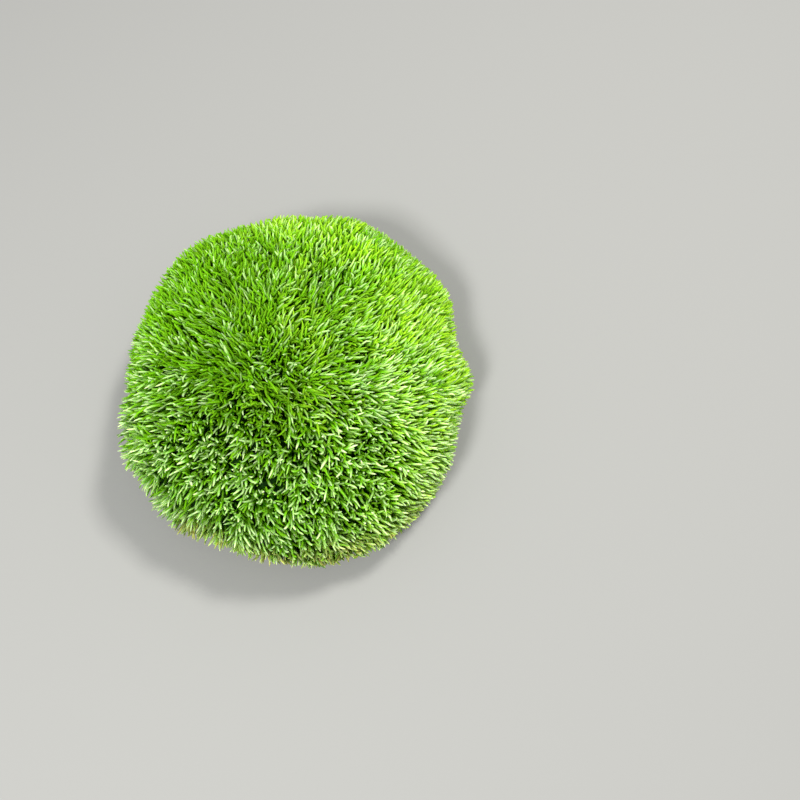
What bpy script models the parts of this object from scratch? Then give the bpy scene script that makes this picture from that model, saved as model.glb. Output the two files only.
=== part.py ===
"""A clump of cushion moss, lifted off the ground and cut flat underneath.

The clump grew as one piece, so it is one closed solid: a low bun with a widest girth a little
above the ground, an undercut rim and a flat cut face that it rests on. Its whole grown surface is
covered in pointed shoot tufts, which all lean away from the place where the clump began to grow.

Metres, +Z up. The origin is in the middle of the footprint's box, on the ground. +Y is the back.
"""

import math

import bmesh
import bpy
import numpy as np
from mathutils import Vector, noise

# The bun: its girth is the widest level, and the cut is the flat face underneath.
HEIGHT = 0.042
MEAN_RADIUS = 0.0545
GIRTH_HEIGHT = 0.013
CUT_RADIUS_SHARE = 0.76
DOME_FULLNESS = 2.3
CROWN_LEAN = Vector((-0.006, 0.002, 0.0))

# Its outline from above: how often each swell comes round, its size and the bearing of a peak.
OUTLINE_SWELLS = (
    (1, 0.0007, 205.0),
    (2, 0.0033, 78.0),
    (3, 0.0008, -49.0),
    (4, 0.0011, 44.0),
)
BULGE_SIZE = 0.0036
BULGE_BEARING = 0.0
BULGE_HALF_ANGLE = 9.0

# Shallow mounds and hollows that break up the bun's surface.
MOUND_SIZE = 0.0022
MOUND_SPACING = 0.017

# The shoots all lean away from where the clump began to grow.
GROWTH_CENTRE = Vector((-0.009, 0.003, 0.004))

# The tufts that the shoots make at the surface.
TUFT_COUNT = 1500
TUFT_DEPTH = 0.0048
TUFT_DEPTH_SPREAD = 0.0008
TIP_SPREAD = 0.0013
TUFT_SCATTER = 0.33
CUT_EDGE_POINTS = 90
CUT_EDGE_ROOM = 0.75
SEED = 7

# Directions on the unit ball that the surface is laid out on before it takes the bun's form.
CUT_POLAR_ANGLE = math.radians(132.0)
GOLDEN_ANGLE = math.pi * (3.0 - math.sqrt(5.0))
PROFILE_STEPS = 240
LEVEL_STEP = 1.0e-5

# The share of the grown surface, next to the cut, over which the tufts sink to nothing.
RIM_EASE = 0.03

TUFT_SHARP_ANGLE = math.radians(50.0)

MOSS_GREEN = (0.150, 0.340, 0.036, 1.0)
MOSS_ROUGHNESS = 0.62


def clear_scene():
    """Remove whatever objects the scene holds."""
    for item in list(bpy.data.objects):
        bpy.data.objects.remove(item, do_unlink=True)


def outline_radius(azimuth, girth_share):
    """Radius towards an azimuth, in radians from +X, where the bun has a given share of its girth.

    The side bulge is full at the girth and gone at the cut.
    """
    radius = MEAN_RADIUS
    for times_round, size, bearing in OUTLINE_SWELLS:
        radius += size * math.cos(times_round * (azimuth - math.radians(bearing)))
    turn = azimuth - math.radians(BULGE_BEARING)
    off_bulge = math.degrees(math.atan2(math.sin(turn), math.cos(turn)))
    near_girth = max(0.0, girth_share - CUT_RADIUS_SHARE) / (1.0 - CUT_RADIUS_SHARE)
    radius += BULGE_SIZE * near_girth * math.exp(-((off_bulge / BULGE_HALF_ANGLE) ** 2))
    return radius * girth_share


def bun_profile():
    """The bun's half section, from the crown down to the cut.

    Returns shares of the girth radius, heights, and the share of the grown surface above each.
    """
    dome_turn = np.linspace(0.0, math.pi / 2.0, PROFILE_STEPS)
    dome_radius = np.sin(dome_turn) ** (2.0 / DOME_FULLNESS)
    dome_height = np.cos(dome_turn) ** (2.0 / DOME_FULLNESS)
    dome_height = GIRTH_HEIGHT + (HEIGHT - GIRTH_HEIGHT) * dome_height

    rim_turn = np.linspace(0.0, math.pi / 2.0, PROFILE_STEPS)[1:]
    rim_radius = 1.0 - (1.0 - CUT_RADIUS_SHARE) * (1.0 - np.cos(rim_turn))
    rim_height = GIRTH_HEIGHT * (1.0 - np.sin(rim_turn))

    radius = np.concatenate((dome_radius, rim_radius))
    height = np.concatenate((dome_height, rim_height))
    slant = np.hypot(np.diff(radius) * MEAN_RADIUS, np.diff(height))
    band_area = slant * (radius[1:] + radius[:-1])
    area_above = np.concatenate(([0.0], np.cumsum(band_area)))
    return radius, height, area_above / area_above[-1]


def unit_direction(polar_angle, azimuth):
    """A point on the unit ball."""
    return Vector((
        math.sin(polar_angle) * math.cos(azimuth),
        math.sin(polar_angle) * math.sin(azimuth),
        math.cos(polar_angle),
    ))


def share_above(direction):
    """How much of the ball's grown cap lies above a direction, from 0 at the crown to 1 at the cut."""
    return (1.0 - direction.z) / (1.0 - math.cos(CUT_POLAR_ANGLE))


def on_bun(direction, profile):
    """Carry a direction of the unit ball to the bun's outer form, with even area for even area."""
    profile_radius, profile_height, profile_share = profile
    share = share_above(direction)
    azimuth = math.atan2(direction.y, direction.x)
    radius = outline_radius(azimuth, float(np.interp(share, profile_share, profile_radius)))
    height = float(np.interp(share, profile_share, profile_height))
    lean = CROWN_LEAN * max(0.0, (height - GIRTH_HEIGHT) / (HEIGHT - GIRTH_HEIGHT))
    return lean + Vector((radius * math.cos(azimuth), radius * math.sin(azimuth), height))


def tuft_directions(rng):
    """Evenly spread tuft directions over the grown cap, in a sunflower's order, then scattered."""
    cap = 1.0 - math.cos(CUT_POLAR_ANGLE)
    spacing = math.sqrt(2.0 * math.pi * cap / TUFT_COUNT)
    directions = []
    for index in range(TUFT_COUNT):
        cosine = 1.0 - cap * (index + 0.5) / TUFT_COUNT
        azimuth = index * GOLDEN_ANGLE
        polar_angle = math.acos(cosine)
        polar_angle += spacing * TUFT_SCATTER * rng.uniform(-1.0, 1.0)
        azimuth += spacing * TUFT_SCATTER * rng.uniform(-1.0, 1.0) / max(math.sin(polar_angle), spacing)
        if polar_angle < CUT_POLAR_ANGLE - CUT_EDGE_ROOM * spacing:
            directions.append(unit_direction(polar_angle, azimuth))
    return directions


def cut_edge_directions():
    """An even ring of directions that becomes the edge of the flat cut."""
    step = 2.0 * math.pi / CUT_EDGE_POINTS
    return [unit_direction(CUT_POLAR_ANGLE, index * step) for index in range(CUT_EDGE_POINTS)]


def triangulated_ball(mesh, directions):
    """Join the directions to a closed ball of triangles, whose flat underside is one face."""
    for direction in directions:
        mesh.verts.new(direction)
    bmesh.ops.convex_hull(mesh, input=mesh.verts, use_existing_faces=False)
    cut_level = math.cos(CUT_POLAR_ANGLE) + LEVEL_STEP
    underside = [
        face for face in mesh.faces
        if all(vert.co.z < cut_level for vert in face.verts)
    ]
    bmesh.ops.dissolve_faces(mesh, faces=underside, use_verts=False)
    bmesh.ops.recalc_face_normals(mesh, faces=mesh.faces)


def part_into_tufts(mesh):
    """Make each point of the ball the peak of a pyramid with valley points round its foot.

    Each triangle gets a valley point in its middle, and the old edges are turned to join the
    valleys. Returns the valley points.
    """
    grown_faces = [face for face in mesh.faces if len(face.verts) == 3]
    old_edges = [
        edge for edge in mesh.edges
        if all(len(face.verts) == 3 for face in edge.link_faces)
    ]
    valleys = set(bmesh.ops.poke(mesh, faces=grown_faces)["verts"])
    bmesh.ops.rotate_edges(mesh, edges=old_edges, use_ccw=False)
    return valleys


def grow_tufts(mesh, valleys, profile, rng):
    """Carry the ball to the bun, peaks near its outer form and valleys a tuft's depth inside it.

    Each tuft points away from the growth centre, and the tufts sink to nothing at the cut.
    """
    for vert in mesh.verts:
        direction = vert.co.normalized()
        share = share_above(direction)
        place = on_bun(direction, profile)
        if vert in valleys:
            depth = TUFT_DEPTH + TUFT_DEPTH_SPREAD * rng.uniform(-1.0, 1.0)
        else:
            depth = TIP_SPREAD * rng.uniform(0.0, 1.0)
        to_cut = min(1.0, (1.0 - share) / RIM_EASE)
        inward = (GROWTH_CENTRE - place).normalized()
        mound = MOUND_SIZE * noise.noise(place / MOUND_SPACING)
        vert.co = place + inward * (depth - mound) * to_cut
        if share > 1.0 - LEVEL_STEP:
            vert.co.z = 0.0


def moss_material():
    """Soft, matt moss green."""
    material = bpy.data.materials.new("moss_green")
    material.use_nodes = True
    shader = material.node_tree.nodes["Principled BSDF"]
    shader.inputs["Base Color"].default_value = MOSS_GREEN
    shader.inputs["Roughness"].default_value = MOSS_ROUGHNESS
    shader.inputs["Metallic"].default_value = 0.0
    return material


def moss_cushion():
    """The whole clump as one closed solid."""
    rng = np.random.default_rng(SEED)
    profile = bun_profile()
    mesh = bmesh.new()
    triangulated_ball(mesh, tuft_directions(rng) + cut_edge_directions())
    valleys = part_into_tufts(mesh)
    grow_tufts(mesh, valleys, profile, rng)
    bmesh.ops.recalc_face_normals(mesh, faces=mesh.faces)

    data = bpy.data.meshes.new("moss_cushion")
    mesh.to_mesh(data)
    mesh.free()
    data.shade_smooth()
    data.set_sharp_from_angle(angle=TUFT_SHARP_ANGLE)
    data.materials.append(moss_material())
    cushion = bpy.data.objects.new("moss_cushion", data)
    bpy.context.scene.collection.objects.link(cushion)
    return cushion


def main():
    clear_scene()
    moss_cushion()


main()
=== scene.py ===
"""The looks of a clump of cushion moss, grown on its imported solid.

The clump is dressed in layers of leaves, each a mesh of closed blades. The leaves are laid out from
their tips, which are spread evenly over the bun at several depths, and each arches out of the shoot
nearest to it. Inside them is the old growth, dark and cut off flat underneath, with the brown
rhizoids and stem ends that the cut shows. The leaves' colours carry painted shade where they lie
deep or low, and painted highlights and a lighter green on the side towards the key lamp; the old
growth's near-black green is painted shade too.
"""

import math
from types import SimpleNamespace

import bpy
import numpy as np
from bpy.props import FloatProperty, FloatVectorProperty, IntProperty, PointerProperty
from bpy.types import Operator, Panel, PropertyGroup
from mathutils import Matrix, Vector, noise


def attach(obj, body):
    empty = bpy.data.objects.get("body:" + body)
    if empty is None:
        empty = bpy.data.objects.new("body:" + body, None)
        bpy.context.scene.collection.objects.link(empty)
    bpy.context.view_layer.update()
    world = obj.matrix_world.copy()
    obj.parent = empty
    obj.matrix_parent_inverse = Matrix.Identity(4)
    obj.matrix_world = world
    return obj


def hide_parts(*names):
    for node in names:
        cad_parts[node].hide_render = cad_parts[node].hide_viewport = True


bl_info = {
    "name": "Moss clump",
    "version": (1, 0, 0),
    "blender": (4, 5, 0),
    "location": "3D View > Sidebar > Moss",
    "description": "Grows a clump of cushion moss on its packed solid",
    "category": "Object",
}

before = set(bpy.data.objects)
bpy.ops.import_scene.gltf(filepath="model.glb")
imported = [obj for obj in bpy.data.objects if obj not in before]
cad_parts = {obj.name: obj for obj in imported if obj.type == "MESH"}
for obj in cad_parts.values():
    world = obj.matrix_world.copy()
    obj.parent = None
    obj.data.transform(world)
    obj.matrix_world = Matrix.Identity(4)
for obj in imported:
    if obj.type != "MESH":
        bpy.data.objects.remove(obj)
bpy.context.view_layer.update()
CUSHION = "moss_cushion"
BODY = "root"
MM = 0.001

# The bun that the leaf tips reach, as the solid has it.
HEIGHT = 0.042
MEAN_RADIUS = 0.0545
GIRTH_HEIGHT = 0.013
CUT_RADIUS_SHARE = 0.76
DOME_FULLNESS = 2.3
CROWN_LEAN = np.array((-0.006, 0.002, 0.0))
OUTLINE_SWELLS = (
    (1, 0.0007, 205.0),
    (2, 0.0033, 78.0),
    (3, 0.0008, -49.0),
    (4, 0.0011, 44.0),
)
BULGE_SIZE = 0.0036
BULGE_BEARING = 0.0
BULGE_HALF_ANGLE = 9.0
MOUND_SIZE = 0.0022
MOUND_SPACING = 0.017
GROWTH_CENTRE = np.array((-0.009, 0.003, 0.004))

# The share of the grown surface, next to the cut, over which the mounds sink to nothing.
RIM_EASE = 0.03

# Where the leaves part, on the front of the crown: how far round it they still stand up, and how
# far from it they lie over.
PARTING = np.array((-0.008, -0.013, 0.0))
PARTING_REACH = 0.012
PARTED_REACH = 0.034

# The side where the tufts of leaves show best, and the side towards the key lamp, where the leaves'
# colour is painted lighter and yellower, with more highlights: painted light.
TUFTED_SIDE = np.array((-0.72, -0.69, 0.0))
PAINTED_LIGHT_SIDE = np.array((0.80, 0.35, 0.25))

GOLDEN_ANGLE = math.pi * (3.0 - math.sqrt(5.0))
UPWARD = np.array((0.0, 0.0, 1.0))
PROFILE_STEPS = 240
SEED = 11

# The layers that the leaves are made in: how many leaves, how deep their tips lie under the outer
# form at least and at most, in mm, and how pale they get, partly from their own whitish points and
# partly from painted highlight, which the deeper layers in shade get less of. Leaves that come up
# below the hem's share of the grown surface are joined to a mesh of their own, and none comes up
# below the lowest share.
LAYERS = (
    ("outer_leaves", 6000, 0.3, 1.3, 1.0),
    ("middle_leaves", 6000, 1.0, 2.4, 0.42),
    ("inner_leaves", 5900, 2.0, 3.8, 0.15),
    ("deep_leaves", 3600, 3.3, 5.0, 0.0),
)
HEM_SHARE = 0.85
LOWEST_SHARE = 0.985

# How many places each tip and shoot chooses from: more choices spread them more evenly.
CHOICES = 7

# How much of its greens each leaf mesh keeps: the deeper layers and the hem are darker, as painted
# shade.
LAYER_SHADE = {
    "outer_leaves": 1.0,
    "middle_leaves": 1.0,
    "inner_leaves": 0.9,
    "deep_leaves": 0.8,
    "hem_leaves": 0.85,
}

# No leaf's foot lies lower than this, so the felt of the cut hides it, and what would reach under
# the ground is eased up from a soft level.
LOWEST_FOOT = 2.2 * MM
SOFT_LEVEL = 1.6 * MM

# Where the rings of a blade lie along it, and on which side of its midrib each point of a ring is.
LEVELS = np.array((0.0, 0.30, 0.55, 0.77, 0.92))
ACROSS = (-1.0, 0.0, 1.0, 0.0)

# How round the bun is where a leaf's depth is measured to one side of its tip.
SURFACE_RADIUS = 45.0 * MM

# The old growth: its rows down the dome, points round it and rings under it, how deep it lies under
# the outer form, in mm, and the broad and the fine lumps on it, by size and spacing in mm.
DOME_ROWS = 64
DOME_COLUMNS = 170
BASE_RINGS = 40
HEM_DEPTH = 3.0
INNER_DEPTH = 7.1
BROAD_LUMPS = (1.3, 4.0)
FINE_LUMPS = (1.1, 1.6)

# The middle of the cut, how far the rhizoids and stem ends reach from it, and how many there are.
CUT_CENTRE = np.array((-0.004, 0.001, 0.0))
THREAD_START_REACH = 0.72 * MEAN_RADIUS
THREAD_END_REACH = 0.74 * MEAN_RADIUS
STEM_END_REACH = 0.73 * MEAN_RADIUS
THREAD_COUNT = 1500
STEM_END_COUNT = 560

# The viewpoint: it looks down at a spot to the right of the clump, as the photograph does.
CAMERA_LENS = 40.5
CAMERA_ELEVATION = math.radians(66.0)
CAMERA_DISTANCE = 0.267
CAMERA_AIM = Vector((0.0295, -0.0054, 0.013))

# The lamps: where they hang, how wide they are and their colours. Both face the clump's middle.
KEY_PLACE = Vector((0.30, 0.24, 0.68))
KEY_SIZE = 0.14
KEY_COLOUR = (1.0, 0.99, 0.93)
FILL_PLACE = Vector((-0.22, -0.43, 0.62))
FILL_SIZE = 0.16
FILL_COLOUR = (1.0, 1.0, 0.96)
LAMP_AIM = Vector((0.0, 0.0, 0.02))
FLOOR_HALF_SIDE = 3.0


class LeafSizes(PropertyGroup):
    """The sizes of the leaves and of the shoots that carry them."""

    foot_depth: FloatProperty(
        name="Leaf foot", description="How deep under the clump's surface the leaves leave the stem",
        default=0.0064, unit="LENGTH", subtype="DISTANCE",
    )
    width: FloatProperty(
        name="Leaf width", description="Across the widest part of a leaf",
        default=0.00098, unit="LENGTH", subtype="DISTANCE",
    )
    thickness: FloatProperty(
        name="Leaf thickness", description="At the midrib",
        default=0.00072, unit="LENGTH", subtype="DISTANCE",
    )
    shoots: IntProperty(
        name="Shoots", description="How many shoots the clump has", default=430,
    )
    lean: FloatProperty(
        name="Lean", description="How far a leaf's foot lies behind its tip where the leaves lie over",
        default=0.0050, unit="LENGTH", subtype="DISTANCE",
    )


class MossColours(PropertyGroup):
    """The colours of the leaves and of the old growth under them."""

    # Painted shade: the dark green that a leaf turns to at its foot and where it lies deep among the
    # others.
    shade: FloatVectorProperty(
        name="Leaf foot", description="The leaf where it leaves the stem",
        size=3, default=(0.018, 0.120, 0.002), subtype="COLOR",
    )
    green: FloatVectorProperty(
        name="Leaf green", description="The middle of a full-grown leaf",
        size=3, default=(0.15, 0.43, 0.004), subtype="COLOR",
    )
    fresh: FloatVectorProperty(
        name="Fresh green", description="The upper part of a leaf in good light",
        size=3, default=(0.38, 0.73, 0.022), subtype="COLOR",
    )
    # Partly the leaves' own whitish point and partly painted highlight on the leaves that lie in the
    # light.
    tip: FloatVectorProperty(
        name="Leaf tip", description="The pale point of a leaf",
        size=3, default=(0.69, 0.99, 0.43), subtype="COLOR",
    )
    straw: FloatVectorProperty(
        name="Dry leaf", description="A leaf that has dried out at the hem",
        size=3, default=(0.58, 0.58, 0.15), subtype="COLOR",
    )
    # Painted shade: the near-black green of the old growth inside stands for the shade deep between
    # the shoots.
    inside_shade: FloatVectorProperty(
        name="Inside", description="The old leaves deep between the shoots",
        size=3, default=(0.006, 0.042, 0.001), subtype="COLOR",
    )
    old_brown: FloatVectorProperty(
        name="Old growth", description="The dead lower parts of the shoots",
        size=3, default=(0.060, 0.040, 0.014), subtype="COLOR",
    )
    rhizoid: FloatVectorProperty(
        name="Rhizoids", description="The felted threads under the clump",
        size=3, default=(0.150, 0.075, 0.028), subtype="COLOR",
    )


class StudioSettings(PropertyGroup):
    """The floor and the lamps."""

    floor: FloatVectorProperty(
        name="Floor", description="The plain floor", size=3, default=(0.34, 0.34, 0.335),
        subtype="COLOR",
    )
    key_power: FloatProperty(
        name="Key lamp", description="Behind the clump, high on its right",
        default=4.4, unit="POWER",
    )
    fill_power: FloatProperty(
        name="Fill lamp", description="In front of the clump, on its left", default=5.25,
        unit="POWER",
    )
    sky: FloatProperty(
        name="Room light", description="The even light from all round", default=0.46,
    )


def eased(value, start, end):
    """0 before start, 1 after end, with a soft change between them."""
    share = np.clip((value - start) / (end - start), 0.0, 1.0)
    return share * share * (3.0 - 2.0 * share)


def unit(vectors):
    """Vectors brought to length 1."""
    return vectors / np.linalg.norm(vectors, axis=-1, keepdims=True)


def bun_profile():
    """The bun's half section, from the crown down to the cut.

    Returns shares of the girth radius, heights, and the share of the grown surface above each.
    """
    dome_turn = np.linspace(0.0, math.pi / 2.0, PROFILE_STEPS)
    dome_radius = np.sin(dome_turn) ** (2.0 / DOME_FULLNESS)
    dome_height = np.cos(dome_turn) ** (2.0 / DOME_FULLNESS)
    dome_height = GIRTH_HEIGHT + (HEIGHT - GIRTH_HEIGHT) * dome_height
    rim_turn = np.linspace(0.0, math.pi / 2.0, PROFILE_STEPS)[1:]
    rim_radius = 1.0 - (1.0 - CUT_RADIUS_SHARE) * (1.0 - np.cos(rim_turn))
    rim_height = GIRTH_HEIGHT * (1.0 - np.sin(rim_turn))
    radius = np.concatenate((dome_radius, rim_radius))
    height = np.concatenate((dome_height, rim_height))
    slant = np.hypot(np.diff(radius) * MEAN_RADIUS, np.diff(height))
    area_above = np.concatenate(([0.0], np.cumsum(slant * (radius[1:] + radius[:-1]))))
    return radius, height, area_above / area_above[-1]


PROFILE_RADIUS, PROFILE_HEIGHT, PROFILE_SHARE = bun_profile()


def outline_radius(azimuth, girth_share):
    """Radius towards each azimuth, where the bun has a given share of its girth."""
    radius = np.full_like(azimuth, MEAN_RADIUS)
    for times_round, size, bearing in OUTLINE_SWELLS:
        radius = radius + size * np.cos(times_round * (azimuth - math.radians(bearing)))
    turn = azimuth - math.radians(BULGE_BEARING)
    off_bulge = np.degrees(np.arctan2(np.sin(turn), np.cos(turn)))
    near_girth = np.maximum(0.0, girth_share - CUT_RADIUS_SHARE) / (1.0 - CUT_RADIUS_SHARE)
    radius = radius + BULGE_SIZE * near_girth * np.exp(-((off_bulge / BULGE_HALF_ANGLE) ** 2))
    return radius * girth_share


def on_bun(share, azimuth):
    """The bun's outer form, by the share of the grown surface above a point and its azimuth."""
    radius = outline_radius(azimuth, np.interp(share, PROFILE_SHARE, PROFILE_RADIUS))
    height = np.interp(share, PROFILE_SHARE, PROFILE_HEIGHT)
    lift = np.maximum(0.0, (height - GIRTH_HEIGHT) / (HEIGHT - GIRTH_HEIGHT))
    level = np.stack((radius * np.cos(azimuth), radius * np.sin(azimuth), height), axis=-1)
    return level + CROWN_LEAN * lift[..., None]


def rough(places, spacing):
    """Uneven values between about -0.7 and 0.7 at each place, which change over a spacing."""
    flat = places.reshape(-1, 3) / spacing
    return np.array([noise.noise(Vector(place)) for place in flat]).reshape(places.shape[:-1])


def outer_form(share, azimuth):
    """The surface that the leaf tips reach, mounds included."""
    place = on_bun(share, azimuth)
    outward = unit(place - GROWTH_CENTRE)
    to_cut = np.clip((1.0 - share) / RIM_EASE, 0.0, 1.0)
    mound = MOUND_SIZE * rough(place, MOUND_SPACING)
    return place + outward * (mound * to_cut)[..., None]


def grid_points(rows, columns):
    """Shares and azimuths of a grid over the bun, from just under the crown down to the cut."""
    share = np.linspace(0.0, 1.0, rows + 1)[1:]
    azimuth = np.linspace(0.0, 2.0 * math.pi, columns, endpoint=False)
    return np.meshgrid(share, azimuth, indexing="ij")


def ring_faces(rows, columns):
    """Quads that join the rows of a closed grid, with their outside to the outside."""
    row, column = np.meshgrid(np.arange(rows - 1), np.arange(columns), indexing="ij")
    after = (column + 1) % columns
    corners = (row * columns + column, (row + 1) * columns + column,
               (row + 1) * columns + after, row * columns + after)
    return np.stack(corners, axis=-1).reshape(-1, 4)


def mesh_from_arrays(name, points, corners, starts):
    """A mesh from its points, the point of each face corner, and where each face's corners start."""
    data = bpy.data.meshes.new(name)
    data.vertices.add(len(points))
    data.vertices.foreach_set("co", np.ascontiguousarray(points, np.float32).ravel())
    data.loops.add(len(corners))
    data.loops.foreach_set("vertex_index", np.ascontiguousarray(corners, np.int32))
    data.polygons.add(len(starts))
    data.polygons.foreach_set("loop_start", np.ascontiguousarray(starts, np.int32))
    data.update(calc_edges=True)
    data.shade_smooth()
    return data


def strand_pattern(levels, sides):
    """One closed strand's faces: the point of each corner, each face's size, and where each corner
    lies on the strand's own cell of the map."""
    corners, sizes, across, along = [], [], [], []
    tip = levels * sides
    for level in range(levels):
        for side in range(sides):
            after = (side + 1) % sides
            low, high = level * sides, (level + 1) * sides
            left, right = side / sides, (side + 1) / sides
            if level < levels - 1:
                corners += [low + side, low + after, high + after, high + side]
                across += [left, right, right, left]
                along += [level, level, level + 1, level + 1]
                sizes.append(4)
            else:
                corners += [low + side, low + after, tip]
                across += [left, right, 0.5 * (left + right)]
                along += [level, level, level + 1]
                sizes.append(3)
    corners += list(range(sides))[::-1]
    around = [2.0 * math.pi * side / sides for side in range(sides)][::-1]
    across += [0.5 + 0.5 * math.sin(turn) for turn in around]
    along += [-0.5 + 0.4 * math.cos(turn) for turn in around]
    sizes.append(sides)
    return np.array(corners), np.array(sizes), np.array(across), np.array(along)


def strand_mesh(name, rings, tips, marks, side_marks):
    """Joined closed strands. rings: strand, level, side, xyz. tips: strand, xyz.

    marks holds a value for each strand, or for each strand and level with the tip last, and
    side_marks a value for each side of a ring.
    """
    count, levels, sides, _ = rings.shape
    own = levels * sides + 1
    points = np.concatenate((rings.reshape(count, -1, 3), tips[:, None]), axis=1)
    corners, sizes, across, along = strand_pattern(levels, sides)
    all_corners = (np.arange(count)[:, None] * own + corners).ravel()
    starts = np.concatenate(([0], np.cumsum(np.tile(sizes, count))[:-1]))
    data = mesh_from_arrays(name, points.reshape(-1, 3), all_corners, starts)

    columns = max(1, round(math.sqrt(count * 4.0)))
    rows = math.ceil(count / columns)
    cell = np.arange(count)
    column, row = (cell % columns)[:, None], (cell // columns)[:, None]
    run = (along + 1.0) / (levels + 1.0)
    side_margin, end_margin = 0.08, 0.04
    u = (column + side_margin + (1.0 - 2.0 * side_margin) * across) / columns
    v = (row + end_margin + (1.0 - 2.0 * end_margin) * run) / rows
    layer = data.uv_layers.new(name="OFBake")
    layer.uv.foreach_set("vector", np.stack((u, v), axis=-1).astype(np.float32).ravel())

    for mark, values in marks.items():
        values = np.asarray(values, dtype=np.float32)
        if values.ndim == 1:
            spread = np.repeat(values[:, None], own, axis=1)
        else:
            on_rings = np.repeat(values[:, :-1], sides, axis=1)
            spread = np.concatenate((on_rings, values[:, -1:]), axis=1)
        data.attributes.new(mark, "FLOAT", "POINT").data.foreach_set("value", spread.ravel())
    for mark, values in side_marks.items():
        spread = np.tile(np.append(np.tile(values, levels), np.mean(values)), count)
        spread = spread.astype(np.float32)
        data.attributes.new(mark, "FLOAT", "POINT").data.foreach_set("value", spread)
    return data


def add_piece(data, material):
    """Put a mesh in the scene as a piece that rides the clump and stands for its solid."""
    piece = bpy.data.objects.new(data.name, data)
    bpy.context.scene.collection.objects.link(piece)
    data.materials.append(material)
    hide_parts(CUSHION)
    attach(piece, BODY)


def lively_at(place):
    """How loosely the leaves stand, with strays and dark gaps: not at all at the clump's back, and
    fully at its front."""
    return eased(-place[..., 1], -25.0 * MM, 35.0 * MM)


def open_at(place, share):
    """How openly the leaves stand, long and apart: fully low on the tufted side only."""
    facing = unit(place - GROWTH_CENTRE) @ TUFTED_SIDE
    return eased(facing, 0.5, 0.85) * eased(share, 0.3, 0.5) * (1.0 - eased(share, 0.85, 0.95))


def spread_places(count, looseness, openness, rng):
    """Shares and azimuths of freely spread places over the bun: each new place is the one furthest
    from its neighbours out of a few choices, with more room where the clump is lively or open."""
    share = rng.uniform(0.0, LOWEST_SHARE, (count, CHOICES))
    azimuth = rng.uniform(0.0, 2.0 * math.pi, (count, CHOICES))
    place = on_bun(share, azimuth)
    room = 1.0 + looseness * lively_at(place) + openness * open_at(place, share)
    square = np.einsum("ncx,ncx->nc", place, place)
    taken = np.empty((count, 3))
    picks = np.zeros(count, dtype=int)
    taken[0] = place[0, 0]
    for index in range(1, count):
        own = np.einsum("nx,nx->n", taken[:index], taken[:index])
        gaps = square[index] + own[:, None] - 2.0 * taken[:index] @ place[index].T
        picks[index] = np.argmax(gaps.min(axis=0) / room[index] ** 2)
        taken[index] = place[index, picks[index]]
    each = np.arange(count)
    return share[each, picks], azimuth[each, picks]


def grow_shoots(sizes, rng):
    """Shoots spread over the bun: where each comes up, where its leaves leave it, and its habits."""
    count = sizes.shoots
    share, azimuth = spread_places(count, 0.25, 0.3, rng)
    top = outer_form(share, azimuth)
    axis = unit(top - GROWTH_CENTRE + rng.normal(0.0, 0.05, (count, 3)) * MEAN_RADIUS)
    lively = lively_at(top)
    # How far each shoot faces the key lamp's side, for the painted light in its leaves' colour.
    sun = eased(axis @ unit(PAINTED_LIGHT_SIDE), -0.2, 0.9)
    recess = rng.uniform(0.0, 1.0, count) * (0.5 + 0.5 * lively) * MM
    recess = recess + np.maximum(0.0, rough(top, 6.5 * MM)) * 1.4 * MM
    recess = recess * (1.0 - 0.7 * sun) * (0.35 + 0.65 * eased(share, 0.05, 0.35))
    recess = recess * (0.4 + 0.6 * lively)
    dry = np.clip(0.75 + 1.6 * rough(top + 0.6, 12.0 * MM) + rng.normal(0.0, 0.2, count), 0.0, 1.0)
    tint = 0.2 + 0.35 * eased(share, 0.1, 0.4) + 1.1 * rough(top, 15.0 * MM)
    tint = tint + rng.normal(0.0, 0.16, count)
    return SimpleNamespace(
        top=top, axis=axis, recess=recess, tint=np.clip(tint, 0.0, 1.0), sun=sun, dry=dry,
    )


def lean_at(place, outward):
    """Which way, and how much, the leaves lie over at each place: away from the parting, in eddies,
    a little back on the clump's right, and up on its front."""
    eddies = np.stack([rough(place + shift, 9.0 * MM) for shift in (0.3, 0.4, 0.5)], axis=-1)
    away = (place - PARTING) * (1.0, 1.0, 0.0)
    reach = np.linalg.norm(away, axis=-1, keepdims=True)
    parted = np.exp(-((reach / PARTED_REACH) ** 2)) / np.hypot(reach, PARTING_REACH)
    combed = eased(place[:, :1], 10.0 * MM, 45.0 * MM) * (0.0, 0.35, 0.0)
    height = place[:, 2:]
    facing_front = eased(-outward[:, 1:2], 0.35, 0.85)
    raised = facing_front * eased(height, 3.0 * MM, 12.0 * MM) * (0.0, 0.0, 0.22)
    lean = 0.5 * eddies + 0.65 * away * parted + combed + raised
    return lean - outward * np.einsum("nc,nc->n", lean, outward)[:, None]


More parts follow.
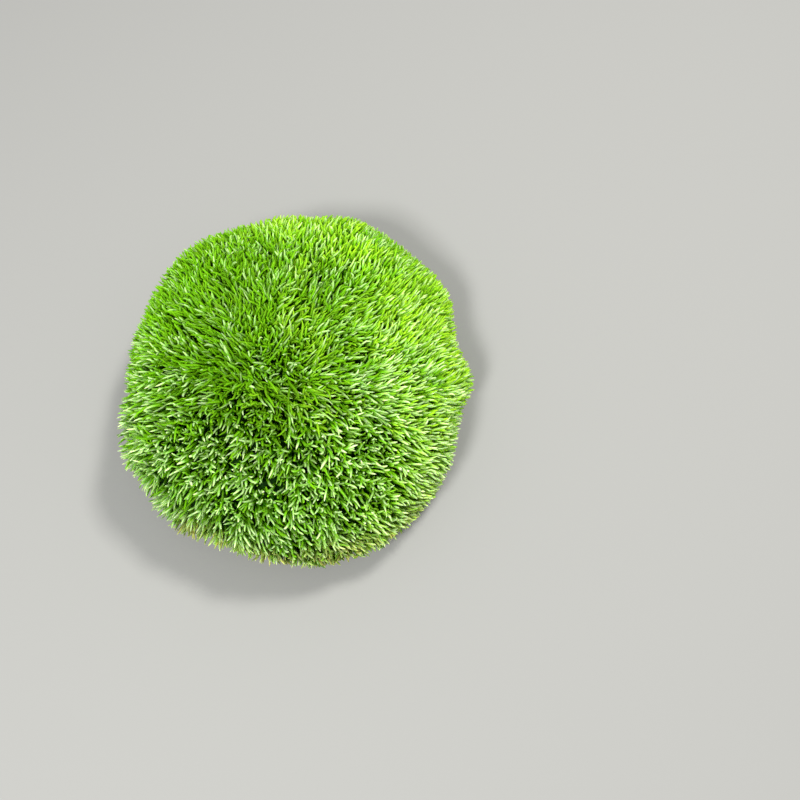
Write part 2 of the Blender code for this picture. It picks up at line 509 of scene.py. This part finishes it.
def place_leaves(sizes, shoots, count, shallow, deep, rng):
    """A layer of leaves, laid out from their tips: the tips are spread evenly over the bun, between
    two depths, and each leaf arches out of the shoot nearest to it."""
    share, azimuth = spread_places(count, 0.0, 0.95 - 0.19 * deep, rng)
    surface = outer_form(share, azimuth)
    outward = unit(surface - GROWTH_CENTRE)
    gaps = np.linalg.norm(surface[:, None] - shoots.top[None], axis=-1)
    shoot = np.argmin(gaps * rng.normal(1.0, 0.10, gaps.shape), axis=1)
    lively = lively_at(surface)
    crown = 1.0 - eased(share, 0.12, 0.5)

    tufted = eased(outward @ TUFTED_SIDE, 0.1, 0.8)
    depth = (shallow + (deep - shallow) * rng.uniform(0.0, 1.0, count)) * MM + shoots.recess[shoot]
    opened = open_at(surface, share)
    loose = 0.5 * tufted * eased(share, 0.25, 0.55) + opened * min(0.7 * deep - 0.5, 1.4)
    depth = depth + loose * rng.uniform(0.0, 1.0, count) ** 1.5 * MM
    tip = surface - outward * depth[:, None]
    axis = shoots.axis[shoot]
    gather = 0.28 + 0.27 * tufted
    together = eased(outward[:, 0], 0.35, 0.85)
    strays = (1.1 + 0.7 * lively ** 2 + 0.35 * crown - 0.7 * tufted - 0.3 * opened) * MM
    strays = strays * (1.0 - 0.45 * together)
    rooted = surface + (shoots.top[shoot] - surface) * gather[:, None]
    rooted = rooted - lean_at(surface, outward) * sizes.lean
    rooted = rooted + np.clip(rng.normal(0.0, 1.0, (count, 3)), -1.6, 1.6) * strays[:, None]
    spare = rng.uniform(0.0, 1.2, count) + 1.8 * opened - crown + 0.25 * deep
    root_depth = sizes.foot_depth + spare * MM
    foot = rooted - axis * root_depth[:, None]
    foot[:, 2] = np.maximum(foot[:, 2], LOWEST_FOOT)
    rise = (0.50 + 0.16 * rng.uniform(-1.0, 1.0, count)) * sizes.foot_depth
    droop = (0.5 + 0.7 * lively) * eased(share, 0.25, 0.7) * MM
    ahead = unit(0.5 * axis + 0.5 * unit(tip - foot))
    bend = foot + ahead * rise[:, None] + rng.normal(0.0, 0.45 * MM, (count, 3))
    bend = bend + UPWARD * droop[:, None]
    across = np.cross(outward, tip - foot + rng.normal(0.0, 0.3 * MM, (count, 3)))
    width = sizes.width * (0.94 - 0.04 * lively - 0.05 * opened) * (1.0 - 0.12 * crown)
    return SimpleNamespace(
        share=share, shoot=shoot, surface=surface, outward=outward, tip=tip, foot=foot, bend=bend,
        side=unit(across), lively=lively, opened=opened,
        width=width * rng.uniform(0.82, 1.18, count),
        twist=rng.normal(0.0, 0.5, count), wave=rng.normal(0.0, 0.22, count) * MM,
        tint=rng.uniform(0.0, 1.0, count), chance=rng.uniform(0.0, 1.0, count),
    )


def blade_rings(leaves, thickness):
    """The rings of each leaf, a narrow blade that arches over and ends bluntly, and how deep under
    the outer form each ring and the tip lie, in mm."""
    rings, sunk = [], []
    for run in (*LEVELS, 1.0):
        to_bend = leaves.bend - leaves.foot
        to_tip = leaves.tip - leaves.bend
        centre = leaves.foot + 2.0 * run * (1.0 - run) * to_bend + run * run * (to_bend + to_tip)
        centre = centre + leaves.side * (leaves.wave * math.sin(2.0 * math.pi * run))[:, None]
        ahead = unit((1.0 - run) * to_bend + run * to_tip)
        across = unit(leaves.side - ahead * np.einsum("nc,nc->n", leaves.side, ahead)[:, None])
        turn = (leaves.twist * run)[:, None]
        wide = np.cos(turn) * across + np.sin(turn) * np.cross(ahead, across)
        face = np.cross(ahead, wide)
        blunt = (1.0 - run ** 6.0) ** 0.6
        narrow = (0.75 + 0.25 * eased(run, 0.0, 0.25)) * (1.0 - 0.22 * eased(run, 0.3, 0.9)) * blunt
        half = wide * (leaves.width * 0.5 * narrow)[:, None]
        lift = face * (thickness * 0.5 * blunt)
        rings.append(np.stack((centre - half, centre - lift, centre + half, centre + lift), axis=1))
        below = leaves.surface - centre
        depth = np.einsum("nc,nc->n", below, leaves.outward)
        aside = np.einsum("nc,nc->n", below, below) - depth * depth
        sunk.append((depth - aside / (2.0 * SURFACE_RADIUS)) / MM)
    return np.stack(rings[:-1], axis=1), rings[-1].mean(axis=1), np.stack(sunk, axis=-1)


def lift_off_ground(points):
    """Ease up, in place, what would reach under the ground."""
    heights = points[..., 2]
    low = heights < SOFT_LEVEL
    heights[low] = SOFT_LEVEL * np.exp((heights[low] - SOFT_LEVEL) / SOFT_LEVEL)


def leaf_marks(leaves, shoots, sunk, paleness, rng):
    """What the leaf material reads from each leaf."""
    shoot, lively = leaves.shoot, leaves.lively
    sun = shoots.sun[shoot]
    front = np.clip(-leaves.outward[:, 1], 0.0, 1.0)
    straw = eased(leaves.share, 0.48, 0.72) * eased(front, 0.45, 0.85) * shoots.dry[shoot]
    straw = straw + 0.3 * eased(leaves.share, 0.7, 0.95)
    straw = np.clip(straw * rng.uniform(0.1, 1.1, len(shoot)), 0.0, 1.0)
    # Partly the leaves' own whitish points and partly painted highlight: more leaves get it on the key
    # lamp's side and at the lively front, and the deeper layers get less.
    outer = eased(leaves.share, 0.03, 0.22)
    often = 0.25 + 0.22 * sun + 0.60 * outer * lively
    pale = eased(leaves.chance, 0.85 - 0.9 * often, 1.25 - 0.9 * often)
    pale = pale * (0.55 + 0.45 * lively)
    pale = pale * (paleness + 0.5 * (1.0 - paleness) * outer * lively * (1.0 - sun))
    # Painted shade: low leaves, chiefly at the front, are made to lie deeper at random so they darken,
    # and how deep a leaf lies counts for more at the front and less where the leaves stand open.
    low = 1.0 - eased(leaves.tip[:, 2], 4.0 * MM, 17.0 * MM)
    shade = low * (0.3 + 0.7 * lively) * rng.uniform(0.0, 1.0, len(shoot)) ** 2.5 * 6.0
    sunk = sunk * (0.5 + 0.5 * lively - 0.35 * leaves.opened)[:, None] + shade[:, None]
    # Painted light and shade on each leaf's random tint: it is spread wider at the lively rim so some
    # leaves stand dark as if shaded, raised at the clump's lit back and lowered on the crown.
    tint = 0.5 + (leaves.tint - 0.5) * (0.8 + 0.6 * outer * lively)
    tint = tint + 0.27 * (1.0 - lively) - 0.26 * (1.0 - eased(leaves.share, 0.06, 0.26))
    runs = np.tile(np.append(LEVELS, 1.0), (len(shoot), 1))
    return {
        "run": runs, "tint": tint, "sunk": sunk, "shoot_tint": shoots.tint[shoot],
        "sun": sun, "straw": straw, "pale": pale,
    }


def leaf_layers(sizes):
    """The meshes of the leaves: the layers by depth and the hem above the cut."""
    rng = np.random.default_rng(SEED)
    shoots = grow_shoots(sizes, rng)
    meshes, hems = {}, []
    for name, count, shallow, deep, paleness in LAYERS:
        leaves = place_leaves(sizes, shoots, count, shallow, deep, rng)
        rings, tips, sunk = blade_rings(leaves, sizes.thickness)
        lift_off_ground(rings)
        lift_off_ground(tips)
        marks = leaf_marks(leaves, shoots, sunk, paleness, rng)
        at_hem = leaves.share > HEM_SHARE
        chosen = {mark: values[~at_hem] for mark, values in marks.items()}
        meshes[name] = strand_mesh(name, rings[~at_hem], tips[~at_hem], chosen, {"across": ACROSS})
        low = {mark: values[at_hem] for mark, values in marks.items()}
        hems.append((rings[at_hem], tips[at_hem], low))
    rings, tips = (np.concatenate([hem[part] for hem in hems]) for part in (0, 1))
    marks = {mark: np.concatenate([hem[2][mark] for hem in hems]) for mark in hems[0][2]}
    meshes["hem_leaves"] = strand_mesh("hem_leaves", rings, tips, marks, {"across": ACROSS})
    return meshes


def old_growth_mesh():
    """The dark inside of the clump: an uneven dome under the leaves, felted and flat underneath."""
    columns = DOME_COLUMNS
    share, azimuth = grid_points(DOME_ROWS, columns)
    outer = outer_form(share, azimuth)
    to_cut = eased(share, 0.93, 1.0)
    under = np.concatenate((to_cut.ravel(), np.ones((BASE_RINGS - 1) * columns), (0.0, 1.0)))
    inward = unit(CUT_CENTRE - outer)
    depth = (HEM_DEPTH + (INNER_DEPTH - HEM_DEPTH) * (1.0 - eased(share, 0.72, 0.97))) * MM
    broad, fine = (
        rough(outer, spacing * MM) * size * MM for size, spacing in (BROAD_LUMPS, FINE_LUMPS)
    )
    lumps = np.maximum(broad + fine, -0.5 * MM) * (1.0 - to_cut)
    dome = outer + inward * (depth + lumps)[..., None]

    edge = dome[-1]
    inset = np.linspace(1.0, 0.0, BASE_RINGS + 1)[1:-1, None, None]
    base = CUT_CENTRE + (edge[None] - CUT_CENTRE) * inset
    pits = 0.35 + 0.9 * np.maximum(0.0, rough(base, 3.4 * MM)) + 0.6 * rough(base, 1.2 * MM) ** 2
    base[..., 2] = pits * MM
    grid = np.concatenate((dome, base))
    points = grid.reshape(-1, 3)
    crown = on_bun(np.array([0.0]), np.array([0.0])) - (0.0, 0.0, INNER_DEPTH * MM)
    middle = CUT_CENTRE + (0.0, 0.0, 0.5 * MM)
    points = np.concatenate((points, crown, middle[None]))

    quads = ring_faces(len(grid), columns)
    column = np.arange(columns)
    after = (column + 1) % columns
    last = (len(grid) - 1) * columns
    top = np.stack((column, after, np.full(columns, len(points) - 2)), axis=-1)
    bottom = np.stack((last + after, last + column, np.full(columns, len(points) - 1)), axis=-1)
    corners = np.concatenate((quads.ravel(), top.ravel(), bottom.ravel()))
    sizes = np.concatenate((np.full(len(quads), 4), np.full(2 * columns, 3)))
    starts = np.concatenate(([0], np.cumsum(sizes)[:-1]))
    data = mesh_from_arrays("old_growth", points, corners, starts)
    mark = data.attributes.new("under", "FLOAT", "POINT")
    mark.data.foreach_set("value", under.astype(np.float32))
    return data


def thread_rings(spine, radius, sides):
    """Round rings on a spine of strand, level, xyz, thinner towards its end."""
    ahead = unit(np.gradient(spine, axis=1))
    side = unit(np.cross(ahead, UPWARD + 0.01))
    up = np.cross(side, ahead)
    turn = np.linspace(0.0, 2.0 * math.pi, sides, endpoint=False)
    taper = np.linspace(1.0, 0.45, spine.shape[1])[None, :, None, None]
    around = (side[:, :, None] * np.cos(turn)[:, None] - up[:, :, None] * np.sin(turn)[:, None])
    return spine[:, :, None] + around * radius[:, None, None, None] * taper


def rhizoid_mesh():
    """Felted brown threads that lie in the cut face, each on a wavy way of its own."""
    rng = np.random.default_rng(SEED + 1)
    count, levels = THREAD_COUNT, 10
    radius = rng.uniform(0.05, 0.10, count) * MM
    reach = THREAD_START_REACH * np.sqrt(rng.uniform(0.0, 1.0, count))
    bearing = rng.uniform(0.0, 2.0 * math.pi, count)
    start = np.stack((reach * np.cos(bearing), reach * np.sin(bearing)), axis=-1)
    heading = rng.uniform(0.0, 2.0 * math.pi, count)
    step = rng.uniform(0.5, 1.5, count) * MM
    turns = np.cumsum(rng.normal(0.0, 0.42, (count, levels)), axis=1) + heading[:, None]
    moves = np.stack((np.cos(turns), np.sin(turns)), axis=-1) * step[:, None, None]
    flat = start[:, None] + np.cumsum(moves, axis=1)
    reached = np.hypot(flat[..., 0], flat[..., 1])
    flat = flat * np.minimum(1.0, THREAD_END_REACH / reached)[..., None]
    level = rng.uniform(0.12, 0.42, count)[:, None] + 0.08 * np.cos(turns * 2.3)
    level = np.maximum(level * MM, radius[:, None] * 1.2)
    spine = np.concatenate((flat, level[..., None]), axis=-1)
    rings = thread_rings(spine[:, :-1], radius, 3)
    marks = {"tint": rng.uniform(0.0, 1.0, count)}
    return strand_mesh("rhizoids", rings, spine[:, -1], marks, {})


def stem_end_mesh():
    """The lower ends of the shoots, cut through level with the ground."""
    rng = np.random.default_rng(SEED + 2)
    count = STEM_END_COUNT
    order = np.arange(count)
    reach = STEM_END_REACH * np.sqrt((order + 0.5) / count) * rng.uniform(0.97, 1.0, count)
    bearing = order * GOLDEN_ANGLE + rng.normal(0.0, 0.05, count)
    above_ground = np.full(count, 0.03 * MM)
    foot = np.stack((reach * np.cos(bearing), reach * np.sin(bearing), above_ground), axis=-1)
    lean = unit(foot * (0.9, 0.9, 0.0) + (0.0, 0.0, 0.03))
    top = foot + lean * rng.uniform(1.6, 2.2, count)[:, None] * MM
    sides, radius = 7, rng.uniform(0.17, 0.30, count) * MM
    turn = np.linspace(0.0, 2.0 * math.pi, sides, endpoint=False)
    around = np.stack((np.cos(turn), -np.sin(turn), 0.0 * turn), axis=-1)
    ring = around[None, None] * radius[:, None, None, None]
    rings = np.stack((foot, top), axis=1)[:, :, None] + ring
    tips = top + lean * 0.15 * MM
    marks = {"tint": rng.uniform(0.0, 1.0, count)}
    return strand_mesh("stem_ends", rings, tips, marks, {})


class Wiring:
    """Adds shader nodes to a tree and joins them."""

    def __init__(self, tree):
        self.tree = tree

    def add(self, kind, **settings):
        """A node of a kind with its settings."""
        node = self.tree.nodes.new(kind)
        for setting, value in settings.items():
            setattr(node, setting, value)
        return node

    def feed(self, socket, source):
        """Join a source to a socket, or set the socket to a value."""
        if isinstance(source, bpy.types.NodeSocket):
            self.tree.links.new(source, socket)
        elif source is not None:
            socket.default_value = source

    def math(self, operation, first, second=None, third=None, clamp=False):
        """A sum on numbers."""
        node = self.add("ShaderNodeMath", operation=operation, use_clamp=clamp)
        for socket, source in zip(node.inputs, (first, second, third)):
            self.feed(socket, source)
        return node.outputs[0]

    def step(self, value, start, end, low=0.0, high=1.0):
        """A soft step from low to high as the value goes from start to end."""
        node = self.add("ShaderNodeMapRange", interpolation_type="SMOOTHSTEP")
        for socket, source in zip(node.inputs, (value, start, end, low, high)):
            self.feed(socket, source)
        return node.outputs[0]

    def mix(self, share, first, second):
        """Two colours mixed, all the first at a share of 0 and all the second at 1."""
        node = self.add("ShaderNodeMix", data_type="RGBA")
        self.feed(node.inputs[0], share)
        self.feed(node.inputs[6], first)
        self.feed(node.inputs[7], second)
        return node.outputs[2]

    def mark(self, name):
        """A value stored on the mesh."""
        return self.add("ShaderNodeAttribute", attribute_name=name).outputs["Fac"]

    def place(self, spacing):
        """Uneven values over the object, which change over a spacing in metres."""
        where = self.add("ShaderNodeTexCoord").outputs["Object"]
        node = self.add("ShaderNodeTexNoise")
        self.feed(node.inputs["Vector"], where)
        self.feed(node.inputs["Scale"], 1.0 / spacing)
        self.feed(node.inputs["Detail"], 2.0)
        return node.outputs["Fac"]


def new_group(name, inputs, outputs):
    """A shader node group with named sockets, and its wiring."""
    group = bpy.data.node_groups.new(name, "ShaderNodeTree")
    for label, kind in inputs:
        group.interface.new_socket(label, in_out="INPUT", socket_type=kind)
    for label, kind in outputs:
        group.interface.new_socket(label, in_out="OUTPUT", socket_type=kind)
    wiring = Wiring(group)
    return group, wiring, wiring.add("NodeGroupInput"), wiring.add("NodeGroupOutput")


NUMBER = "NodeSocketFloat"
COLOUR = "NodeSocketColor"


def leaf_tone_group():
    """The colour of a moss leaf from its foot to its tip, fresh or dried, with painted shade where it
    lies deep, painted highlights, and a lighter green towards the key lamp.
    """
    if "leaf_tone" in bpy.data.node_groups:
        return bpy.data.node_groups["leaf_tone"]
    group, wiring, source, result = new_group(
        "leaf_tone",
        [("Run", NUMBER), ("Across", NUMBER), ("Sunk", NUMBER), ("Tint", NUMBER),
         ("Shoot Tint", NUMBER), ("Sun", NUMBER), ("Straw", NUMBER), ("Pale", NUMBER),
         ("Painted Shade", COLOUR), ("Green", COLOUR), ("Fresh", COLOUR), ("Tip And Highlight", COLOUR), ("Dry", COLOUR)],
        [("Color", COLOUR), ("Roughness", NUMBER)],
    )
    given = source.outputs
    run, sun, tint = given["Run"], given["Sun"], given["Tint"]
    # Painted light: more of the fresh green on the upper leaf of shoots on the key lamp's side.
    fresh = wiring.math("MULTIPLY", wiring.step(run, 0.30, 0.85), wiring.step(sun, -0.3, 1.0))
    fresh = wiring.math("MULTIPLY", fresh, wiring.step(given["Shoot Tint"], -0.3, 1.0))
    body = wiring.mix(fresh, given["Green"], given["Fresh"])
    # Painted highlight: a light line along the ridge of the blade. Where the leaf lies shallow, its
    # outer part turns to the whitish colour, partly the leaf's own whitish point and partly painted
    # highlight.
    midrib = wiring.step(wiring.math("ABSOLUTE", given["Across"]), 0.35, 0.95, 1.0, 0.0)
    ridge_highlight = wiring.math("MULTIPLY", midrib, wiring.step(run, 0.25, 0.60, 0.0, 0.2))
    outer = wiring.math("MULTIPLY_ADD", wiring.step(run, 0.32, 0.76), 0.9, ridge_highlight, clamp=True)
    lit = wiring.math("MULTIPLY", given["Pale"], wiring.step(given["Sunk"], 0.9, 4.6, 1.0, 0.0))
    toned = wiring.mix(wiring.math("MULTIPLY", outer, lit), body, given["Tip And Highlight"])
    dried = wiring.mix(wiring.math("MULTIPLY", given["Straw"], 1.0, clamp=True), toned, given["Dry"])
    # Painted light: a leaf is made lighter on the key lamp's side; apart from that its random tint
    # sets how light it is.
    light = wiring.math("MULTIPLY_ADD", tint, 0.6, wiring.step(sun, 0.0, 1.0, 0.51, 0.57))
    bright = wiring.add("ShaderNodeVectorMath", operation="SCALE")
    wiring.feed(bright.inputs[0], dried)
    wiring.feed(bright.inputs["Scale"], light)
    # Painted shade: the leaf turns to the dark colour deep under the outer form and at its foot, where
    # shade falls between the shoots.
    sunk = wiring.step(given["Sunk"], 2.6, 8.0)
    deep = wiring.math("MAXIMUM", sunk, wiring.step(run, 0.0, 0.25, 1.0, 0.0))
    wiring.feed(result.inputs["Color"], wiring.mix(deep, bright.outputs[0], given["Painted Shade"]))
    wiring.feed(result.inputs["Roughness"], wiring.math("MULTIPLY_ADD", midrib, -0.08, 0.42))
    return group


def fibre_group():
    """Old, fibrous growth: two browns in streaks and specks, with a relief to match."""
    if "fibre" in bpy.data.node_groups:
        return bpy.data.node_groups["fibre"]
    group, wiring, source, result = new_group(
        "fibre",
        [("Dark", COLOUR), ("Light", COLOUR), ("Tint", NUMBER)],
        [("Color", COLOUR), ("Height", NUMBER), ("Roughness", NUMBER)],
    )
    broad = wiring.place(0.004)
    fine = wiring.place(0.0006)
    speck = wiring.math("MULTIPLY", fine, wiring.step(broad, 0.25, 0.75, 0.6, 1.4))
    share = wiring.step(speck, 0.30, 0.62)
    share = wiring.math("MULTIPLY_ADD", source.outputs["Tint"], 0.5, share, clamp=True)
    browns = wiring.mix(share, source.outputs["Dark"], source.outputs["Light"])
    wiring.feed(result.inputs["Color"], browns)
    wiring.feed(result.inputs["Height"], fine)
    wiring.feed(result.inputs["Roughness"], wiring.step(fine, 0.2, 0.8, 0.75, 0.95))
    return group


def new_material(name):
    """A material with an empty surface, its wiring and its Principled shader."""
    material = bpy.data.materials.new(name)
    material.use_nodes = True
    return material, Wiring(material.node_tree), material.node_tree.nodes["Principled BSDF"]


def with_alpha(colour, factor=1.0):
    """A colour property as a shader colour, darker or lighter by a factor."""
    return (colour[0] * factor, colour[1] * factor, colour[2] * factor, 1.0)


def leaf_material(name, colours, layer_shade):
    """Moss leaf: dark at the foot and deep down as painted shade, vivid green above, a painted
    highlight along the midrib, and whitish at the point, partly its own colour and partly painted
    highlight.
    """
    material, wiring, shader = new_material(name)
    tone = wiring.add("ShaderNodeGroup", node_tree=leaf_tone_group())
    for label in ("Run", "Across", "Sunk", "Tint", "Shoot Tint", "Sun", "Straw", "Pale"):
        wiring.feed(tone.inputs[label], wiring.mark(label.lower().replace(" ", "_")))
    wiring.feed(tone.inputs["Painted Shade"], with_alpha(colours.shade, layer_shade))
    wiring.feed(tone.inputs["Green"], with_alpha(colours.green, layer_shade))
    wiring.feed(tone.inputs["Fresh"], with_alpha(colours.fresh, layer_shade))
    wiring.feed(tone.inputs["Tip And Highlight"], with_alpha(colours.tip))
    wiring.feed(tone.inputs["Dry"], with_alpha(colours.straw))
    wiring.feed(shader.inputs["Base Color"], tone.outputs["Color"])
    wiring.feed(shader.inputs["Roughness"], tone.outputs["Roughness"])
    shader.inputs["Specular IOR Level"].default_value = 0.05
    shader.inputs["Subsurface Weight"].default_value = 0.5
    shader.inputs["Subsurface Radius"].default_value = (0.6, 1.0, 0.2)
    shader.inputs["Subsurface Scale"].default_value = 0.0006
    return material


def fibre_material(name, dark, light, tint):
    """Dead growth in two browns, with the tint read from a mark of the mesh if it has one."""
    material, wiring, shader = new_material(name)
    fibre = wiring.add("ShaderNodeGroup", node_tree=fibre_group())
    wiring.feed(fibre.inputs["Dark"], dark)
    wiring.feed(fibre.inputs["Light"], light)
    wiring.feed(fibre.inputs["Tint"], wiring.mark(tint) if tint else 0.0)
    wiring.feed(shader.inputs["Base Color"], fibre.outputs["Color"])
    wiring.feed(shader.inputs["Roughness"], fibre.outputs["Roughness"])
    shader.inputs["Specular IOR Level"].default_value = 0.1
    bump = wiring.add("ShaderNodeBump")
    bump.inputs["Strength"].default_value = 0.6
    bump.inputs["Distance"].default_value = 0.0004
    wiring.feed(bump.inputs["Height"], fibre.outputs["Height"])
    wiring.feed(shader.inputs["Normal"], bump.outputs["Normal"])
    return material, wiring, fibre


class MOSS_OT_old_growth(Operator):
    """Make the dark inside of the clump, felted and cut flat underneath"""

    bl_idname = "moss.old_growth"
    bl_label = "Old growth"

    def execute(self, context):
        colours = context.scene.moss_colours
        material, wiring, fibre = fibre_material("old_growth", None, None, None)
        under = wiring.mark("under")
        # The inside's near-black green is painted shade for the gaps between the shoots; the brown
        # where the cut shows is the old growth's own colour.
        for label, factor in (("Dark", 0.3), ("Light", 1.0)):
            inside = with_alpha(colours.inside_shade, factor)
            brown = with_alpha(colours.old_brown, factor)
            wiring.feed(fibre.inputs[label], wiring.mix(under, inside, brown))
        add_piece(old_growth_mesh(), material)
        return {"FINISHED"}


class MOSS_OT_underside(Operator):
    """Make the rhizoids and the cut stem ends that show underneath"""

    bl_idname = "moss.underside"
    bl_label = "Underside"

    def execute(self, context):
        colours = context.scene.moss_colours
        dark, light = with_alpha(colours.rhizoid, 0.35), with_alpha(colours.rhizoid, 1.4)
        threads = fibre_material("rhizoid_thread", dark, light, "tint")
        dark, light = with_alpha(colours.straw, 0.35), with_alpha(colours.straw, 0.9)
        stems = fibre_material("stem_end", dark, light, "tint")
        add_piece(rhizoid_mesh(), threads[0])
        add_piece(stem_end_mesh(), stems[0])
        return {"FINISHED"}


class MOSS_OT_leaves(Operator):
    """Grow the leaves, in layers from the outside in, and those of the hem"""

    bl_idname = "moss.leaves"
    bl_label = "Leaves"

    def execute(self, context):
        colours = context.scene.moss_colours
        for name, data in leaf_layers(context.scene.moss_leaves).items():
            add_piece(data, leaf_material(name, colours, LAYER_SHADE[name]))
        return {"FINISHED"}


def floor_material(colour):
    """Plain, pale, matt studio floor."""
    material, wiring, shader = new_material("studio_floor")
    wiring.feed(shader.inputs["Base Color"], with_alpha(colour))
    wiring.feed(shader.inputs["Roughness"], 0.85)
    return material


def add_lamp(name, place, size, power, colour):
    """A square soft lamp that faces the clump."""
    lamp = bpy.data.lights.new(name, "AREA")
    lamp.size = size
    lamp.energy = power
    lamp.color = colour
    holder = bpy.data.objects.new(name, lamp)
    holder.location = place
    holder.rotation_euler = (LAMP_AIM - place).to_track_quat("-Z", "Y").to_euler()
    bpy.context.scene.collection.objects.link(holder)


class MOSS_OT_stage(Operator):
    """Set up the floor, the lamps and the camera"""

    bl_idname = "moss.stage"
    bl_label = "Stage"

    def execute(self, context):
        studio = context.scene.moss_studio
        side = FLOOR_HALF_SIDE
        floor = bpy.data.meshes.new("studio_floor")
        floor.from_pydata(
            [(-side, -side, 0.0), (side, -side, 0.0), (side, side, 0.0), (-side, side, 0.0)],
            [], [(0, 1, 2, 3)],
        )
        floor.materials.append(floor_material(studio.floor))
        ground = bpy.data.objects.new("studio_floor", floor)
        context.scene.collection.objects.link(ground)

        add_lamp("key_lamp", KEY_PLACE, KEY_SIZE, studio.key_power, KEY_COLOUR)
        add_lamp("fill_lamp", FILL_PLACE, FILL_SIZE, studio.fill_power, FILL_COLOUR)
        world = context.scene.world or bpy.data.worlds.new("studio_room")
        context.scene.world = world
        world.use_nodes = True
        room = world.node_tree.nodes["Background"]
        room.inputs["Color"].default_value = (1.0, 1.0, 1.0, 1.0)
        room.inputs["Strength"].default_value = studio.sky

        lens = bpy.data.cameras.new("camera")
        lens.lens = CAMERA_LENS
        lens.clip_start = 0.01
        camera = bpy.data.objects.new("camera", lens)
        back = Vector((0.0, -math.cos(CAMERA_ELEVATION), math.sin(CAMERA_ELEVATION)))
        camera.location = CAMERA_AIM + back * CAMERA_DISTANCE
        camera.rotation_euler = (-back).to_track_quat("-Z", "Y").to_euler()
        context.scene.collection.objects.link(camera)
        context.scene.camera = camera
        context.scene.view_settings.view_transform = "Standard"
        return {"FINISHED"}


class MOSS_PT_panel(Panel):
    """The moss clump's settings and the steps that make it"""

    bl_idname = "MOSS_PT_panel"
    bl_label = "Moss clump"
    bl_space_type = "VIEW_3D"
    bl_region_type = "UI"
    bl_category = "Moss"

    def draw(self, context):
        for group in (context.scene.moss_leaves, context.scene.moss_colours,
                      context.scene.moss_studio):
            box = self.layout.box()
            for setting in type(group).__annotations__:
                box.prop(group, setting)
        for operator in OPERATORS:
            self.layout.operator(operator.bl_idname)


GROUPS = (
    ("moss_leaves", LeafSizes),
    ("moss_colours", MossColours),
    ("moss_studio", StudioSettings),
)
OPERATORS = (MOSS_OT_old_growth, MOSS_OT_underside, MOSS_OT_leaves, MOSS_OT_stage)


def register():
    """Make the settings, the steps and the panel known."""
    for name, group in GROUPS:
        bpy.utils.register_class(group)
        setattr(bpy.types.Scene, name, PointerProperty(type=group))
    for kind in (*OPERATORS, MOSS_PT_panel):
        bpy.utils.register_class(kind)


def unregister():
    """Take them out again."""
    for kind in (MOSS_PT_panel, *reversed(OPERATORS)):
        bpy.utils.unregister_class(kind)
    for name, group in reversed(GROUPS):
        delattr(bpy.types.Scene, name)
        bpy.utils.unregister_class(group)


def main():
    """Make the whole clump and its stage."""
    register()
    bpy.ops.moss.old_growth()
    bpy.ops.moss.underside()
    bpy.ops.moss.leaves()
    bpy.ops.moss.stage()


if __name__ == "__main__":
    main()
